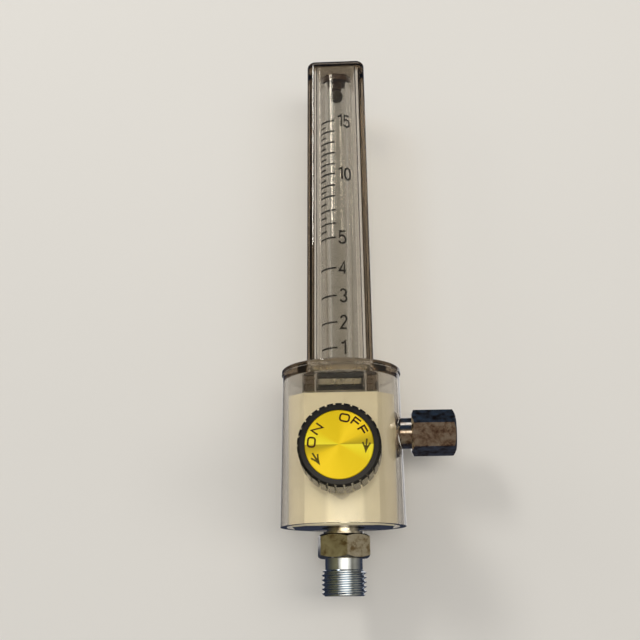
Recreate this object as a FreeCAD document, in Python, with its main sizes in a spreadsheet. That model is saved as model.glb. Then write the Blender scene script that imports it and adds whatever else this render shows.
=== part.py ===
import FreeCAD, Part
import os
import re

import Sketcher

# Oxygen flowmeter with a clear square tube, a knob in front and an inlet at the right side
# Millimetres, +Z up along the tube, -Y the knob side, +X the inlet side
# The origin is the centre of the outlet thread's end face

Vector = FreeCAD.Vector
Placement = FreeCAD.Placement
Rotation = FreeCAD.Rotation

# Driving dimensions, one cell each
SIZES = {
    # outlet fitting
    "outlet_thread_d": 14.29,
    "outlet_thread_len": 8.1,
    "outlet_neck_d": 12.0,
    "outlet_neck_len": 3.5,
    "outlet_hex_af": 15.88,
    "outlet_hex_len": 7.6,
    "outlet_hex_turn": 8.5,
    "outlet_face_d": 13.0,
    "outlet_face_len": 0.7,
    "outlet_collar_d": 11.0,
    "outlet_collar_len": 2.0,
    "outlet_shank_d": 9.6,
    "outlet_shank_len": 8.0,
    "outlet_bore_d": 5.0,
    "outlet_mouth_d": 8.2,
    "outlet_mouth_depth": 3.2,
    "outlet_lead": 0.9,
    # white body block
    "body_height": 42.45,
    "body_front_w": 23.0,
    "body_w": 33.5,
    "body_depth": 21.8,
    "body_side_depth": 11.8,
    "body_edge": 0.7,
    "passage_d": 5.0,
    "inlet_passage_d": 4.6,
    "feed_low_z": 50.2,
    "outlet_passage_top_z": 44.5,
    "return_d": 1.7,
    "return_offset": 5.4,
    "return_low_z": 42.0,
    # tube socket on the body's top
    "socket_w": 16.9,
    "socket_corner_r": 2.4,
    "socket_height": 9.1,
    "socket_spigot_d": 8.0,
    "socket_spigot_len": 6.0,
    "groove_w": 2.6,
    "groove_depth": 2.0,
    "groove_corner_r": 0.6,
    "groove_low_z": 0.25,
    "groove_pitch": 4.5,
    # clear outer cover
    "cavity_w": 17.3,
    "cavity_top_w": 15.8,
    "cavity_corner_r": 2.5,
    "shoulder_z": 73.3,
    "roof_thick": 3.7,
    "lip_height": 1.5,
    "lip_stand": 0.4,
    "lip_edge_r": 0.5,
    "skirt_rise": 0.3,
    "skirt_gap": 0.2,
    "skirt_draft": 0.4,
    "skirt_wall": 2.1,
    "skirt_top_wall": 1.75,
    "collar_w": 24.4,
    "collar_corner_r": 3.0,
    "collar_gap": 0.4,
    "tube_low_w": 22.2,
    "tube_top_w": 20.7,
    "tube_corner_r": 3.0,
    "tube_top_z": 188.4,
    "tube_roof": 2.3,
    "tube_end_r": 2.2,
    "tube_foot_r": 0.8,
    "boss_d": 18.0,
    "boss_stand": 0.5,
    # flow tube with its tapered bore
    "flow_tube_d": 13.2,
    "flow_tube_top_gap": 1.5,
    "flow_tube_edge": 0.4,
    "flow_spigot_d": 8.7,
    "flow_spigot_len": 5.8,
    "taper_low_d": 5.5,
    "taper_top_d": 7.0,
    "stop_seat_d": 8.4,
    "stop_seat_depth": 1.8,
    "seat_ring_d": 7.0,
    "seat_ring_len": 1.6,
    "seat_ring_bore": 3.2,
    "seat_ring_cone": 0.5,
    # float ball and its stop
    "ball_d": 4.76,
    "ball_gap": 0.3,
    "stop_pin_d": 3.6,
    "stop_pin_len": 2.6,
    "stop_slot_w": 1.6,
    "stop_slot_gap": 0.2,
    # inlet fitting
    "inlet_z": 51.8,
    "inlet_shank_d": 10.3,
    "inlet_shank_depth": 9.0,
    "inlet_hex_stand": 2.55,
    "inlet_hex_len": 14.6,
    "inlet_hex_af": 13.3,
    "inlet_hex_turn": 13.5,
    "inlet_port_d": 8.8,
    "inlet_port_depth": 9.5,
    "inlet_bore_d": 5.0,
    "inlet_lead": 0.6,
    "inlet_mouth_bevel": 0.8,
    "filter_d": 7.8,
    "filter_len": 6.0,
    "filter_wall": 1.0,
    # needle valve
    "valve_z": 42.7,
    "chamber_d": 11.0,
    "chamber_depth": 7.7,
    "orifice_d": 3.0,
    "valve_seat_d": 7.0,
    "valve_seat_len": 1.8,
    "valve_seat_cone": 0.7,
    "bonnet_reach": 5.0,
    "bonnet_flange_d": 15.4,
    "bonnet_flange_len": 1.9,
    "bonnet_edge": 0.5,
    "spindle_d": 6.0,
    "spindle_root_lift": 3.4,
    "spindle_stand": 9.7,
    "needle_tip_lift": 0.8,
    "needle_tip_d": 1.4,
    "spindle_flat": 2.4,
    "spindle_flat_len": 6.0,
    "running_gap": 0.05,
    "hole_gap": 0.3,
    # knob
    "knob_gap": 0.55,
    "knob_height": 14.45,
    "knob_back_r": 12.85,
    "knob_front_r": 12.46,
    "knob_rib_root_r": 11.9,
    "knob_groove_w": 0.65,
    "knob_groove_count": 30,
    "knob_edge": 0.4,
    "knob_front_edge": 0.75,
    "knob_hollow_r": 10.2,
    "knob_web": 3.4,
    "knob_hub_d": 10.0,
    "knob_hub_depth": 2.5,
    "disc_d": 20.5,
    "disc_thick": 0.6,
    "disc_recess": 0.7,
    "disc_edge": 0.2,
    "screw_head_d": 5.6,
    "screw_head_len": 1.7,
    "screw_recess_d": 6.4,
    "screw_recess_depth": 2.2,
    "screw_d": 3.0,
    "screw_len": 7.0,
    "screw_slot_w": 0.8,
    "screw_slot_depth": 0.9,
    "screw_head_edge": 0.4,
    "screw_lead": 0.3,
    "screw_end_gap": 0.5,
    # seals
    "seal_fit": 0.05,
    "tube_seal_section": 1.4,
    "bonnet_seal_section": 1.2,
    "bonnet_seal_depth": 2.5,
    "spindle_seal_section": 0.95,
    "spindle_seal_depth": 5.95,
    "outlet_seal_d": 14.0,
    "outlet_seal_len": 1.2,
    # hexagon chamfers, as shares of the width across flats
    "hex_face_share": 0.47,
    "hex_clear_share": 0.62,
    # how far a cut runs past the surface it opens
    "cut_margin": 1.0,
}

# Places and sizes that follow from the driving dimensions
FORMULAS = {
    "hex_low_z": "outlet_thread_len + outlet_neck_len",
    "hex_top_z": "hex_low_z + outlet_hex_len",
    "body_low_z": "hex_top_z + outlet_collar_len",
    "body_top_z": "body_low_z + body_height",
    "body_front": "body_depth / 2",
    "socket_top_z": "body_top_z + socket_height",
    "groove_floor_w": "socket_w - 2 * groove_depth",
    "ring_section": "(cavity_w - groove_floor_w) / 2 - 2 * seal_fit",
    "ring_path_w": "groove_floor_w + 2 * seal_fit + ring_section",
    "collar_low_z": "body_top_z + collar_gap",
    "ceiling_z": "shoulder_z - roof_thick",
    "lip_low_z": "shoulder_z - lip_height",
    "skirt_low_z": "body_low_z + skirt_rise",
    "cavity_top_z": "tube_top_z - tube_roof",
    "body_corner_r": "sqrt((body_w / 2)^2 + (body_side_depth / 2)^2)",
    "skirt_in_top_r": "body_corner_r + skirt_gap",
    "skirt_in_low_r": "skirt_in_top_r + skirt_draft",
    "skirt_low_r": "skirt_in_low_r + skirt_wall",
    "skirt_top_r": "skirt_in_top_r + skirt_top_wall",
    "lip_r": "skirt_top_r + lip_stand",
    "boss_face": "skirt_low_r + boss_stand",
    "flow_top_z": "cavity_top_z - flow_tube_top_gap",
    "flow_low_z": "socket_top_z - flow_spigot_len",
    "stop_seat_z": "flow_top_z - stop_seat_depth",
    "ball_z": "stop_seat_z - stop_pin_len - ball_gap - ball_d / 2",
    "seat_ring_top_z": "flow_low_z + seat_ring_len",
    "tube_seal_depth": "tube_seal_section + 2 * seal_fit",
    "tube_seal_bore": "flow_spigot_d + 2 * seal_fit + 2 * tube_seal_section + 2 * seal_fit",
    "inlet_root_x": "body_w / 2 - inlet_shank_depth",
    "inlet_hex_x": "skirt_low_r + inlet_hex_stand",
    "inlet_end_x": "inlet_hex_x + inlet_hex_len",
    "port_floor_x": "inlet_end_x - inlet_port_depth",
    "filter_floor_x": "port_floor_x - filter_len",
    "knob_back": "boss_face + knob_gap",
    "knob_hub_back": "knob_back + knob_hub_depth",
    "knob_front": "knob_back + knob_height",
    "disc_seat": "knob_front - disc_recess",
    "web_back": "disc_seat - knob_web",
    "screw_seat": "disc_seat - screw_recess_depth",
    "chamber_floor": "body_front - chamber_depth",
    "needle_tip_y": "chamber_floor + needle_tip_lift",
    "spindle_root": "chamber_floor + spindle_root_lift",
    "bonnet_root": "body_front - bonnet_reach",
    "bonnet_seal_y": "body_front - bonnet_seal_depth",
    "bonnet_end": "boss_face + bonnet_flange_len",
    "spindle_top": "knob_back + spindle_stand",
    "spindle_seal_y": "boss_face - spindle_seal_depth",
    "bonnet_bore_d": "spindle_d + 2 * running_gap",
}

doc = FreeCAD.newDocument("Flowmeter")
sheet = doc.addObject("Spreadsheet::Sheet", "Sizes")


def fill_sheet():
    for row, (alias, number) in enumerate(SIZES.items(), start=1):
        sheet.set("A%d" % row, alias)
        sheet.set("B%d" % row, str(number))
        sheet.setAlias("B%d" % row, alias)
    doc.recompute()


def bound(text):
    """Turn plain size names into references to the sheet."""
    def swap(match):
        word = match.group()
        if word in SIZES:
            return "Sizes." + word
        if word in FORMULAS:
            return "(" + bound(FORMULAS[word]) + ")"
        return word
    return re.sub(r"[a-z_]+[a-z]", swap, text)


def measure(text):
    return float(sheet.evalExpression(bound(text)))


# Bodies and sketches

def new_body(label):
    body = doc.addObject("PartDesign::Body", label)
    body.Label = label
    return body


def point_forward(body, height):
    """Stand a body on the valve axis: its own Z runs to the front, its Y runs up."""
    body.Placement = Placement(Vector(0, 0, 0), Rotation(Vector(1, 0, 0), 90))
    body.setExpression("Placement.Base.z", bound(height))


def point_right(body, height):
    """Stand a body on the inlet axis: its own Z runs to the right."""
    body.Placement = Placement(Vector(0, 0, 0), Rotation(Vector(0, 1, 0), 90))
    body.setExpression("Placement.Base.z", bound(height))


def new_sketch(body, name, role, offset="0"):
    sketch = body.newObject("Sketcher::SketchObject", name)
    plane = next(item for item in body.Origin.OriginFeatures if item.Role == role)
    sketch.AttachmentSupport = [(plane, "")]
    sketch.MapMode = "FlatFace"
    if offset != "0":
        sketch.setExpression("AttachmentOffset.Base.z", bound(offset))
    return sketch


def pin_coordinate(sketch, geometry, corner, axis, text):
    """Hold one coordinate of a sketch point at a size from the sheet."""
    number = measure(text)
    if abs(number) < 1e-9:
        line = -2 if axis == "X" else -1
        sketch.addConstraint(Sketcher.Constraint("PointOnObject", geometry, corner, line))
        return
    kind = "Distance" + axis
    if number > 0:
        rule = Sketcher.Constraint(kind, -1, 1, geometry, corner, number)
        size = bound(text)
    else:
        rule = Sketcher.Constraint(kind, geometry, corner, -1, 1, -number)
        size = "-(" + bound(text) + ")"
    index = sketch.addConstraint(rule)
    sketch.setExpression("Constraints[%d]" % index, size)


def add_outline(sketch, corners):
    """Draw a closed run of straight edges through corners given as pairs of sizes."""
    first = sketch.GeometryCount
    count = len(corners)
    places = [Vector(measure(x), measure(y), 0) for x, y in corners]
    for step in range(count):
        sketch.addGeometry(Part.LineSegment(places[step], places[(step + 1) % count]))
    for step in range(count):
        following = first + (step + 1) % count
        sketch.addConstraint(Sketcher.Constraint("Coincident", first + step, 2, following, 1))
    for step, (x, y) in enumerate(corners):
        pin_coordinate(sketch, first + step, 1, "X", x)
        pin_coordinate(sketch, first + step, 1, "Y", y)


def add_circle(sketch, diameter, x="0", y="0"):
    centre = Vector(measure(x), measure(y), 0)
    index = sketch.addGeometry(Part.Circle(centre, Vector(0, 0, 1), measure(diameter) / 2))
    pin_coordinate(sketch, index, 3, "X", x)
    pin_coordinate(sketch, index, 3, "Y", y)
    rule = sketch.addConstraint(Sketcher.Constraint("Diameter", index, measure(diameter)))
    sketch.setExpression("Constraints[%d]" % rule, bound(diameter))


def add_rounded_square(sketch, width, corner_r):
    """Draw a centred square with rounded corners."""
    first = sketch.GeometryCount
    half = measure(width) / 2
    radius = measure(corner_r)
    flat = half - radius
    turns = [Rotation(Vector(0, 0, 1), 90 * step) for step in range(4)]
    for turn in turns:
        start = turn.multVec(Vector(half, -flat, 0))
        end = turn.multVec(Vector(half, flat, 0))
        sketch.addGeometry(Part.LineSegment(start, end))
    for turn in turns:
        start = turn.multVec(Vector(half, flat, 0))
        middle = turn.multVec(Vector(flat + radius * 0.5 ** 0.5, flat + radius * 0.5 ** 0.5, 0))
        end = turn.multVec(Vector(flat, half, 0))
        sketch.addGeometry(Part.Arc(start, middle, end))
    for step in range(4):
        arc = first + 4 + step
        sketch.addConstraint(Sketcher.Constraint("Tangent", first + step, 2, arc, 1))
        sketch.addConstraint(Sketcher.Constraint("Tangent", arc, 2, first + (step + 1) % 4, 1))
    for step, (rule, axis, side) in enumerate((
            ("Vertical", "X", "+"), ("Horizontal", "Y", "+"),
            ("Vertical", "X", "-"), ("Horizontal", "Y", "-"))):
        sketch.addConstraint(Sketcher.Constraint(rule, first + step))
        pin_coordinate(sketch, first + step, 1, axis, side + "(" + width + ") / 2")
    rule = sketch.addConstraint(Sketcher.Constraint("Radius", first + 4, radius))
    sketch.setExpression("Constraints[%d]" % rule, bound(corner_r))
    for step in range(1, 4):
        sketch.addConstraint(Sketcher.Constraint("Equal", first + 4, first + 4 + step))


# Features

def pad(body, name, sketch, length, backwards=False):
    feature = body.newObject("PartDesign::Pad", name)
    feature.Profile = sketch
    feature.setExpression("Length", bound(length))
    feature.Reversed = backwards
    return feature


def pocket(body, name, sketch, length, forwards=False):
    feature = body.newObject("PartDesign::Pocket", name)
    feature.Profile = sketch
    feature.setExpression("Length", bound(length))
    feature.Reversed = forwards
    return feature


def spin(body, name, kind, corners):
    """Revolve an outline of (radius, height) corners about the body's own Z."""
    sketch = new_sketch(body, name + "_outline", "XZ_Plane")
    add_outline(sketch, corners)
    feature = body.newObject("PartDesign::" + kind, name)
    feature.Profile = sketch
    feature.ReferenceAxis = (sketch, ["V_Axis"])
    feature.Angle = 360
    return feature


def bore(body, name, role, mouth, floor, diameter, x="0", y="0"):
    """Sink a round hole from its mouth to its floor, both measured along the plane's normal."""
    sketch = new_sketch(body, name + "_circle", role, mouth)
    add_circle(sketch, diameter, x, y)
    return pocket(body, name, sketch, "(%s) - (%s)" % (mouth, floor))


def hexagon(body, name, across_flats, low, length, turn):
    """Pad a hexagon on the body's Z, with its first corner turned from the body's own X."""
    sketch = new_sketch(body, name + "_outline", "XY_Plane", low)
    corners = []
    for step in range(6):
        angle = "(%s + %d)" % (turn, 60 * step)
        corners.append(("%s / sqrt(3) * cos(%s)" % (across_flats, angle),
                        "%s / sqrt(3) * sin(%s)" % (across_flats, angle)))
    add_outline(sketch, corners)
    return pad(body, name, sketch, length)


def bevel_hexagon(body, name, across_flats, end, inwards):
    """Turn the hexagon's corners down at one end, at thirty degrees."""
    face = across_flats + " * hex_face_share"
    outside = across_flats + " * hex_clear_share"
    drop = "(%s - %s) / sqrt(3)" % (outside, face)
    corners = [(face, end), (outside, end), (outside, "%s %s %s" % (end, inwards, drop))]
    return spin(body, name, "Groove", corners)


def edge_names(feature, wanted):
    """Name the edges of a feature whose two ends and middle pass a test."""
    names = []
    for index, edge in enumerate(feature.Shape.Edges, start=1):
        middle = edge.valueAt((edge.FirstParameter + edge.LastParameter) / 2)
        if all(wanted(point) for point in [middle] + [vertex.Point for vertex in edge.Vertexes]):
            names.append("Edge%d" % index)
    return names


def dress(body, name, kind, feature, size, wanted):
    """Fillet or chamfer the edges of a feature that pass a test."""
    doc.recompute()
    dressing = body.newObject("PartDesign::" + kind, name)
    dressing.Base = (feature, edge_names(feature, wanted))
    key = "Radius" if kind == "Fillet" else "Size"
    dressing.setExpression(key, bound(size))
    return dressing


def at_height(text):
    height = measure(text)
    return lambda point: abs(point.z - height) < 1e-4


def ring(label, path_r, section, height, stand=None, axis_z="0"):
    """Make an O-ring: its path radius, its section and its place along its own axis."""
    torus = doc.addObject("Part::Torus", label)
    torus.Label = label
    torus.setExpression("Radius1", bound(path_r))
    torus.setExpression("Radius2", bound("(%s) / 2" % section))
    if stand is None:
        torus.setExpression("Placement.Base.z", bound(height))
    else:
        torus.Placement = Placement(Vector(0, 0, 0), Rotation(Vector(1, 0, 0), 90))
        torus.setExpression("Placement.Base.y", bound("-(%s)" % height))
        torus.setExpression("Placement.Base.z", bound(axis_z))
    return torus


# Outlet side

def make_outlet_fitting():
    body = new_body("outlet_fitting")
    thread_r = "outlet_thread_d / 2"
    spin(body, "shank", "Revolution", [
        ("0", "0"), (thread_r + " - outlet_lead", "0"), (thread_r, "outlet_lead"),
        (thread_r, "outlet_thread_len - outlet_lead / 2"),
        ("outlet_neck_d / 2", "outlet_thread_len"),
        ("outlet_neck_d / 2", "hex_low_z"), ("outlet_face_d / 2", "hex_low_z"),
        ("outlet_face_d / 2", "hex_top_z + outlet_face_len"),
        ("outlet_collar_d / 2", "hex_top_z + outlet_face_len"),
        ("outlet_collar_d / 2", "body_low_z"), ("outlet_shank_d / 2", "body_low_z"),
        ("outlet_shank_d / 2", "body_low_z + outlet_shank_len"),
        ("0", "body_low_z + outlet_shank_len")])
    hexagon(body, "hex", "outlet_hex_af", "hex_low_z", "outlet_hex_len",
            "30 + outlet_hex_turn")
    bevel_hexagon(body, "low_bevel", "outlet_hex_af", "hex_low_z", "+")
    bevel_hexagon(body, "top_bevel", "outlet_hex_af", "hex_top_z", "-")
    cone = "(outlet_mouth_d - outlet_bore_d) / 2"
    spin(body, "gas_way", "Groove", [
        ("0", "0"), ("outlet_mouth_d / 2", "0"), ("outlet_mouth_d / 2", "outlet_mouth_depth"),
        ("outlet_bore_d / 2", "outlet_mouth_depth + " + cone),
        ("outlet_bore_d / 2", "body_low_z + outlet_shank_len"),
        ("0", "body_low_z + outlet_shank_len")])
    return body


def make_outlet_seal():
    body = new_body("outlet_seal")
    inside = "outlet_shank_d / 2 + seal_fit"
    spin(body, "washer", "Revolution", [
        (inside, "body_low_z"), ("outlet_seal_d / 2", "body_low_z"),
        ("outlet_seal_d / 2", "body_low_z + outlet_seal_len"),
        (inside, "body_low_z + outlet_seal_len")])
    return body


# Body block with its gas passages

def make_valve_body():
    body = new_body("valve_body")
    outline = new_sketch(body, "block_outline", "XY_Plane", "body_low_z")
    quarter = [("body_w / 2", "body_side_depth / 2"), ("body_front_w / 2", "body_depth / 2")]
    mirrored = [("-" + x, y) for x, y in reversed(quarter)]
    rear = [("-" + x, "-" + y) for x, y in quarter]
    front = [(x, "-" + y) for x, y in reversed(quarter)]
    add_outline(outline, quarter + mirrored + rear + front)
    block = pad(body, "block", outline, "body_height")
    dress(body, "low_edge", "Chamfer", block, "body_edge", at_height("body_low_z"))
    bore(body, "outlet_port", "XY_Plane", "body_low_z + outlet_shank_len", "body_low_z",
         "outlet_shank_d + 2 * seal_fit")
    bore(body, "outlet_seal_seat", "XY_Plane", "body_low_z + outlet_seal_len", "body_low_z",
         "outlet_seal_d + 2 * seal_fit")
    bore(body, "outlet_passage", "XY_Plane", "outlet_passage_top_z", "body_low_z", "passage_d")
    bore(body, "socket_hole", "XY_Plane", "body_top_z", "body_top_z - socket_spigot_len",
         "socket_spigot_d")
    bore(body, "feed_passage", "XY_Plane", "body_top_z", "feed_low_z", "passage_d")
    bore(body, "return_passage", "XY_Plane", "body_top_z", "return_low_z", "return_d",
         "return_offset", "-return_offset")
    bore(body, "valve_chamber", "XZ_Plane", "body_front", "chamber_floor", "chamber_d",
         "0", "valve_z")
    bore(body, "orifice", "XZ_Plane", "chamber_floor", "0", "orifice_d", "0", "valve_z")
    bore(body, "inlet_port", "YZ_Plane", "body_w / 2", "inlet_root_x",
         "inlet_shank_d + 2 * seal_fit", "0", "inlet_z")
    bore(body, "inlet_passage", "YZ_Plane", "inlet_root_x", "0", "inlet_passage_d", "0", "inlet_z")
    return body


# Socket that carries the tube and its seals

def cut_ring_groove(body, name, low, mouth_w, mouth_corner):
    """Cut a square groove around the socket, open at its faces."""
    sketch = new_sketch(body, name + "_outline", "XY_Plane", low)
    add_rounded_square(sketch, mouth_w, mouth_corner)
    add_rounded_square(sketch, "groove_floor_w", "groove_corner_r")
    return pocket(body, name, sketch, "groove_w", forwards=True)


def make_tube_socket():
    body = new_body("tube_socket")
    outline = new_sketch(body, "plug_outline", "XY_Plane", "body_top_z")
    add_rounded_square(outline, "socket_w", "socket_corner_r")
    pad(body, "plug", outline, "socket_height")
    spigot = new_sketch(body, "spigot_circle", "XY_Plane", "body_top_z")
    add_circle(spigot, "socket_spigot_d")
    pad(body, "spigot", spigot, "socket_spigot_len", backwards=True)
    for name, low in (("low_groove", "body_top_z + groove_low_z"),
                      ("high_groove", "body_top_z + groove_low_z + groove_pitch")):
        cut_ring_groove(body, name, low, "socket_w + cut_margin", "socket_corner_r")
    bore(body, "feed_way", "XY_Plane", "flow_low_z", "body_top_z - socket_spigot_len",
         "passage_d")
    bore(body, "tube_hole", "XY_Plane", "socket_top_z", "flow_low_z",
         "flow_spigot_d + 2 * seal_fit")
    bore(body, "tube_seal_seat", "XY_Plane", "socket_top_z", "socket_top_z - tube_seal_depth",
         "tube_seal_bore")
    bore(body, "return_way", "XY_Plane", "socket_top_z", "body_top_z", "return_d",
         "return_offset", "-return_offset")
    return body


def make_cover_ring(label, low):
    """Make one square seal that fills a groove of the socket."""
    body = new_body(label)
    path = new_sketch(body, label + "_path", "XY_Plane", low + " + groove_w / 2")
    add_rounded_square(path, "ring_path_w", "groove_corner_r + ring_section / 2")
    section = new_sketch(body, label + "_section", "XZ_Plane")
    add_circle(section, "ring_section", "ring_path_w / 2", low + " + groove_w / 2")
    sweep = body.newObject("PartDesign::AdditivePipe", label + "_ring")
    sweep.Profile = section
    sweep.Spine = (path, [])
    return body


# Clear cover: skirt, shoulder with its lip and square tube in one moulding

def make_outer_cover():
    body = new_body("outer_cover")
    spin(body, "skirt", "Revolution", [
        ("0", "skirt_low_z"), ("skirt_low_r", "skirt_low_z"), ("skirt_top_r", "lip_low_z"),
        ("lip_r", "lip_low_z"), ("lip_r", "shoulder_z"), ("0", "shoulder_z")])
    foot = new_sketch(body, "tube_foot", "XY_Plane", "shoulder_z")
    add_rounded_square(foot, "tube_low_w", "tube_corner_r")
    head = new_sketch(body, "tube_head", "XY_Plane", "tube_top_z")
    add_rounded_square(head, "tube_top_w", "tube_corner_r")
    tube = body.newObject("PartDesign::AdditiveLoft", "tube")
    tube.Profile = foot
    tube.Sections = [head]
    tube.Ruled = True
    doc.recompute()
    rounded = dress(body, "tube_end_round", "Fillet", tube, "tube_end_r",
                    at_height("tube_top_z"))
    doc.recompute()
    shoulder = measure("shoulder_z")
    rim = measure("lip_r")

    def on_rim(point):
        return abs(point.z - shoulder) < 1e-4 and abs(point.x ** 2 + point.y ** 2 - rim ** 2) < 1e-3

    rim_round = dress(body, "lip_round", "Fillet", rounded, "lip_edge_r", on_rim)
    reach = measure("tube_low_w")

    def on_foot(point):
        inside = max(abs(point.x), abs(point.y)) < reach / 2 + 1e-3
        return abs(point.z - shoulder) < 1e-4 and inside

    dress(body, "foot_round", "Fillet", rim_round, "tube_foot_r", on_foot)
    boss = new_sketch(body, "boss_circle", "XZ_Plane", "boss_face")
    add_circle(boss, "boss_d", "0", "valve_z")
    pad(body, "boss", boss, "boss_face - skirt_in_top_r", backwards=True)
    spin(body, "skirt_hollow", "Groove", [
        ("0", "skirt_low_z"), ("skirt_in_low_r", "skirt_low_z"),
        ("skirt_in_top_r", "collar_low_z"), ("0", "collar_low_z")])
    moat = new_sketch(body, "collar_moat", "XY_Plane", "collar_low_z")
    add_circle(moat, "2 * skirt_in_top_r")
    add_rounded_square(moat, "collar_w", "collar_corner_r")
    pocket(body, "collar_space", moat, "ceiling_z - collar_low_z", forwards=True)
    well = new_sketch(body, "well_outline", "XY_Plane", "collar_low_z")
    add_rounded_square(well, "cavity_w", "cavity_corner_r")
    pocket(body, "well", well, "shoulder_z - collar_low_z", forwards=True)
    low = new_sketch(body, "cavity_low", "XY_Plane", "shoulder_z")
    add_rounded_square(low, "cavity_w", "cavity_corner_r")
    high = new_sketch(body, "cavity_high", "XY_Plane", "cavity_top_z")
    add_rounded_square(high, "cavity_top_w", "cavity_corner_r")
    cavity = body.newObject("PartDesign::SubtractiveLoft", "cavity")
    cavity.Profile = low
    cavity.Sections = [high]
    cavity.Ruled = True
    bore(body, "bonnet_hole", "XZ_Plane", "boss_face", "body_front", "chamber_d + 2 * hole_gap",
         "0", "valve_z")
    bore(body, "inlet_hole", "YZ_Plane", "skirt_low_r + cut_margin", "body_w / 2 - cut_margin",
         "inlet_shank_d + 2 * hole_gap", "0", "inlet_z")
    return body


# Flow tube, ball and stop

def make_flow_tube():
    body = new_body("flow_tube")
    spin(body, "tube", "Revolution", [
        ("0", "flow_low_z"), ("flow_spigot_d / 2", "flow_low_z"),
        ("flow_spigot_d / 2", "socket_top_z"), ("flow_tube_d / 2", "socket_top_z"),
        ("flow_tube_d / 2", "flow_top_z - flow_tube_edge"),
        ("flow_tube_d / 2 - flow_tube_edge", "flow_top_z"),
        ("0", "flow_top_z")])
    spin(body, "tapered_bore", "Groove", [
        ("0", "flow_low_z"), ("seat_ring_d / 2", "flow_low_z"),
        ("seat_ring_d / 2", "seat_ring_top_z"), ("taper_low_d / 2", "seat_ring_top_z"),
        ("taper_top_d / 2", "stop_seat_z"), ("stop_seat_d / 2", "stop_seat_z"),
        ("stop_seat_d / 2", "flow_top_z"), ("0", "flow_top_z")])
    return body


def make_tube_o_ring():
    path = "flow_spigot_d / 2 + seal_fit + tube_seal_section / 2"
    return ring("tube_o_ring", path, "tube_seal_section", "socket_top_z - tube_seal_depth / 2")


def make_ball_seat():
    body = new_body("ball_seat")
    spin(body, "seat_ring", "Revolution", [
        ("seat_ring_bore / 2", "flow_low_z"), ("seat_ring_d / 2", "flow_low_z"),
        ("seat_ring_d / 2", "seat_ring_top_z"),
        ("seat_ring_bore / 2 + seat_ring_cone", "seat_ring_top_z"),
        ("seat_ring_bore / 2", "seat_ring_top_z - seat_ring_cone")])
    return body


def make_float_ball():
    ball = doc.addObject("Part::Sphere", "float_ball")
    ball.Label = "float_ball"
    ball.setExpression("Radius", bound("ball_d / 2"))
    ball.setExpression("Placement.Base.z", bound("ball_z"))
    return ball


def make_ball_stop():
    body = new_body("ball_stop")
    head_r = "stop_seat_d / 2"
    spin(body, "plug", "Revolution", [
        ("0", "stop_seat_z - stop_pin_len"), ("stop_pin_d / 2", "stop_seat_z - stop_pin_len"),
        ("stop_pin_d / 2", "stop_seat_z"), (head_r, "stop_seat_z"),
        (head_r, "flow_top_z"), ("0", "flow_top_z")])
    slots = new_sketch(body, "slot_outline", "XY_Plane", "flow_top_z")
    reach = "stop_seat_d / 2 + cut_margin"
    for side in ("", "-"):
        near = "stop_pin_d / 2 + stop_slot_gap"
        add_outline(slots, [
            (side + "(%s)" % near, "-stop_slot_w / 2"), (side + "(%s)" % reach, "-stop_slot_w / 2"),
            (side + "(%s)" % reach, "stop_slot_w / 2"), (side + "(%s)" % near, "stop_slot_w / 2")])
    pocket(body, "gas_slots", slots, "stop_seat_depth")
    return body


# Inlet side

def make_inlet_fitting():
    body = new_body("inlet_fitting")
    point_right(body, "inlet_z")
    spin(body, "shank", "Revolution", [
        ("0", "inlet_root_x"), ("inlet_shank_d / 2 - inlet_lead", "inlet_root_x"),
        ("inlet_shank_d / 2", "inlet_root_x + inlet_lead"), ("inlet_shank_d / 2", "inlet_hex_x"),
        ("0", "inlet_hex_x")])
    hexagon(body, "hex", "inlet_hex_af", "inlet_hex_x", "inlet_hex_len", "inlet_hex_turn")
    bevel_hexagon(body, "near_bevel", "inlet_hex_af", "inlet_hex_x", "+")
    bevel_hexagon(body, "far_bevel", "inlet_hex_af", "inlet_end_x", "-")
    spin(body, "gas_way", "Groove", [
        ("0", "inlet_root_x"), ("inlet_bore_d / 2", "inlet_root_x"),
        ("inlet_bore_d / 2", "filter_floor_x"), ("filter_d / 2", "filter_floor_x"),
        ("filter_d / 2", "port_floor_x"), ("inlet_port_d / 2", "port_floor_x"),
        ("inlet_port_d / 2", "inlet_end_x - inlet_mouth_bevel"),
        ("inlet_port_d / 2 + inlet_mouth_bevel", "inlet_end_x"),
        ("0", "inlet_end_x")])
    return body


def make_inlet_filter():
    body = new_body("inlet_filter")
    point_right(body, "inlet_z")
    outside = "filter_d / 2 - seal_fit"
    inside = outside + " - filter_wall"
    spin(body, "thimble", "Revolution", [
        (inside, "filter_floor_x"), (outside, "filter_floor_x"),
        (outside + " - filter_wall", "port_floor_x"), ("0", "port_floor_x"),
        ("0", "port_floor_x - filter_wall"),
        (inside + " - filter_wall", "port_floor_x - filter_wall")])
    return body


# Needle valve

def make_valve_seat():
    body = new_body("valve_seat")
    point_forward(body, "valve_z")
    top = "chamber_floor + valve_seat_len"
    spin(body, "seat", "Revolution", [
        ("orifice_d / 2", "chamber_floor"), ("valve_seat_d / 2", "chamber_floor"),
        ("valve_seat_d / 2", top), ("orifice_d / 2 + valve_seat_cone", top),
        ("orifice_d / 2", top + " - valve_seat_cone")])
    return body


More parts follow.
